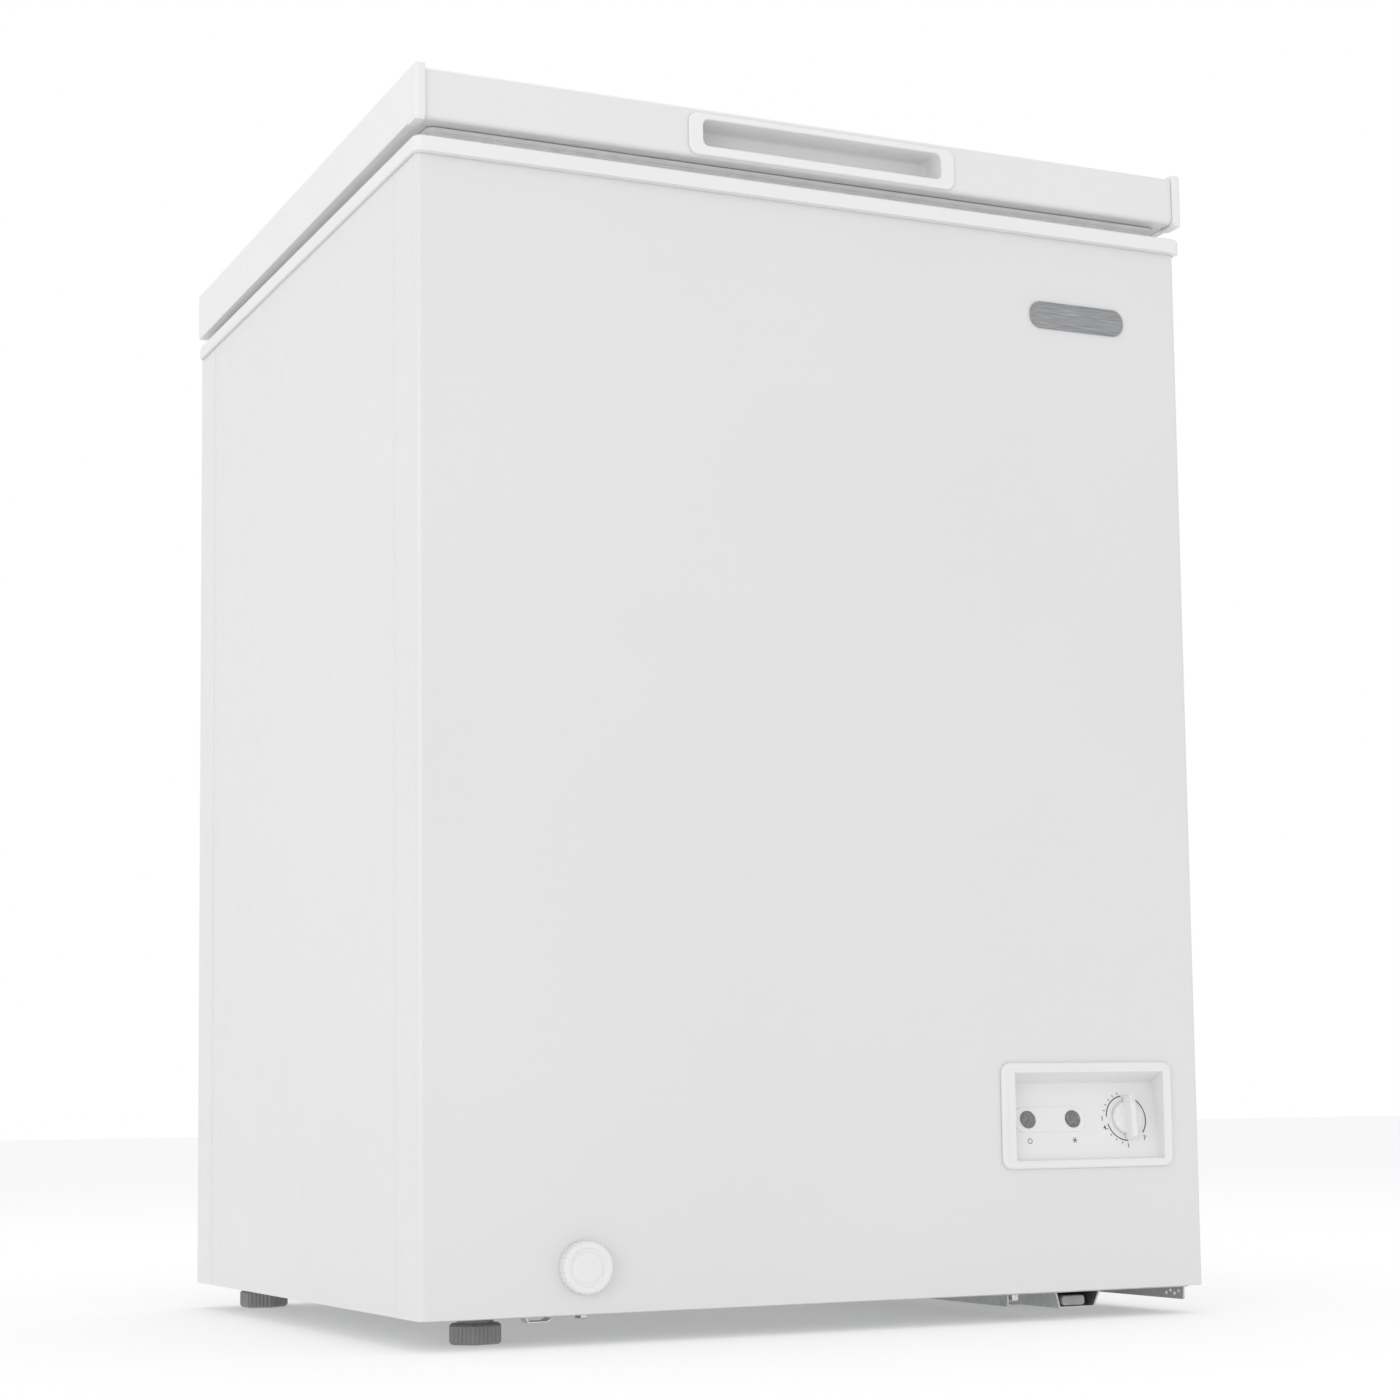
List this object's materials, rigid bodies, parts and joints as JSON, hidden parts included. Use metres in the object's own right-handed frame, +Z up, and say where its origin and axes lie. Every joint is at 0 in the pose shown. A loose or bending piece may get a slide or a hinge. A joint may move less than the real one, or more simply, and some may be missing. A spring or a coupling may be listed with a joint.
{
  "type": "chest freezer",
  "caption": "White top-opening chest freezer cabinet with a hinged foam lid, recessed front grip, thermostat panel, drain outlet, wire basket and levelling feet.",
  "frame": {"origin": "on the floor, under the middle of the whole object's bounding box", "axes": "+Z up, +X to the right of someone facing the front, -Y out of the front"},
  "size_m": [0.6058, 0.6116, 0.8545],
  "materials": {
    "white_steel": "satin prepainted sheet steel",
    "white_plastic": "satin moulded white plastic",
    "liner_plastic": "smooth vacuum-formed white plastic",
    "galvanised_steel": "dull galvanised steel",
    "foam": "rigid polyurethane foam",
    "rubber": "soft grey rubber",
    "gasket_rubber": "soft grey vinyl",
    "dark_plastic": "matte dark grey plastic",
    "grey_plastic": "matte grey plastic",
    "black_steel": "black painted steel",
    "copper": "drawn copper tube",
    "coil_aluminium": "drawn aluminium tube",
    "bright_steel": "zinc plated steel",
    "badge_metal": "satin plate",
    "lens": "dark translucent lens",
    "wire_white": "white coated wire"
  },
  "bodies": {
    "cabinet": {"outer_shell": "white_steel", "back_panel": "galvanised_steel", "rear_access_cover": "galvanised_steel", "bottom_panel": "galvanised_steel", "foam_insulation": "foam", "inner_liner": "liner_plastic", "top_frame": "white_plastic", "compressor_base_plate": "galvanised_steel", "base_channel": "galvanised_steel", "channel_pad": "rubber", "base_bolt_left": "bright_steel", "base_bolt_right": "bright_steel", "compressor": "black_steel", "compressor_terminal_cover": "dark_plastic", "start_relay": "dark_plastic", "filter_drier": "copper", "evaporator_coil": "coil_aluminium", "condenser_coil": "coil_aluminium", "capillary_tube": "copper", "suction_line": "copper", "discharge_line": "copper", "wiring_harness": "dark_plastic", "compressor_grommet_1": "rubber", "compressor_grommet_2": "rubber", "compressor_grommet_3": "rubber", "compressor_grommet_4": "rubber", "control_bezel": "white_plastic", "thermostat_body": "grey_plastic", "thermostat_bulb": "copper", "power_lamp": "lens", "compressor_lamp": "lens", "badge": "badge_metal", "drain_elbow": "grey_plastic", "vent_grille": "white_plastic", "cord_inlet": "dark_plastic", "hinge_base_left": "bright_steel", "hinge_base_right": "bright_steel", "hinge_pin_left": "bright_steel", "hinge_pin_right": "bright_steel", "hinge_spring_left": "black_steel", "hinge_spring_right": "black_steel"},
    "lid": {"lid_skin": "white_steel", "lid_foam": "foam", "lid_liner": "liner_plastic", "lid_end_cap_left": "white_plastic", "lid_end_cap_right": "white_plastic", "lid_grip": "white_plastic", "lid_gasket": "gasket_rubber", "hinge_arm_left": "bright_steel", "hinge_arm_right": "bright_steel"},
    "thermostat_dial": {"thermostat_knob": "white_plastic", "thermostat_shaft": "bright_steel"},
    "drain_spout": {"drain_spout": "white_plastic"},
    "drain_dial": {"drain_dial": "white_plastic"},
    "basket": {"basket": "wire_white"},
    "drain_plug": {"drain_plug": "grey_plastic"},
    "foot_front_left": {"foot_front_left": "dark_plastic"},
    "foot_rear_left": {"foot_rear_left": "dark_plastic"},
    "foot_front_right": {"foot_front_right": "dark_plastic"},
    "foot_rear_right": {"foot_rear_right": "dark_plastic"}
  },
  "joints": [
    {"name": "lid_hinge", "type": "hinge", "parent": "cabinet", "child": "lid", "pos_m": [0, 0.29775, 0.808], "axis": [-1, 0, 0], "range_deg": [0, 80]},
    {"name": "thermostat_turn", "type": "hinge", "parent": "cabinet", "child": "thermostat_dial", "pos_m": [0.2427, -0.28627, 0.1426], "axis": [0, -0.978, 0.2085], "range_deg": [-131, 184]},
    {"name": "drain_pull", "type": "slide", "parent": "cabinet", "child": "drain_spout", "axis": [0, -1, 0], "range_m": [0, 0.02]},
    {"name": "drain_turn", "type": "hinge", "parent": "drain_spout", "child": "drain_dial", "pos_m": [-0.186, -0.30125, 0.051], "axis": [0, -1, 0], "range_deg": [0, 180]},
    {"name": "basket_slide", "type": "slide", "parent": "cabinet", "child": "basket", "axis": [1, 0, 0], "range_m": [-0.255, 0]},
    {"name": "drain_plug_lift", "type": "slide", "parent": "cabinet", "child": "drain_plug", "axis": [0, 0, 1], "range_m": [0, 0.03]},
    {"name": "foot_front_left_turn", "type": "hinge", "parent": "cabinet", "child": "foot_front_left", "pos_m": [-0.24, -0.23325, 0], "axis": [0, 0, 1], "range_deg": [-360, 360]},
    {"name": "foot_rear_left_turn", "type": "hinge", "parent": "cabinet", "child": "foot_rear_left", "pos_m": [-0.251, 0.25875, 0], "axis": [0, 0, 1], "range_deg": [-360, 360]},
    {"name": "foot_front_right_turn", "type": "hinge", "parent": "cabinet", "child": "foot_front_right", "pos_m": [0.25, -0.11625, 0], "axis": [0, 0, 1], "range_deg": [-360, 360]},
    {"name": "foot_rear_right_turn", "type": "hinge", "parent": "cabinet", "child": "foot_rear_right", "pos_m": [0.25, 0.25875, 0], "axis": [0, 0, 1], "range_deg": [-360, 360]}
  ]
}
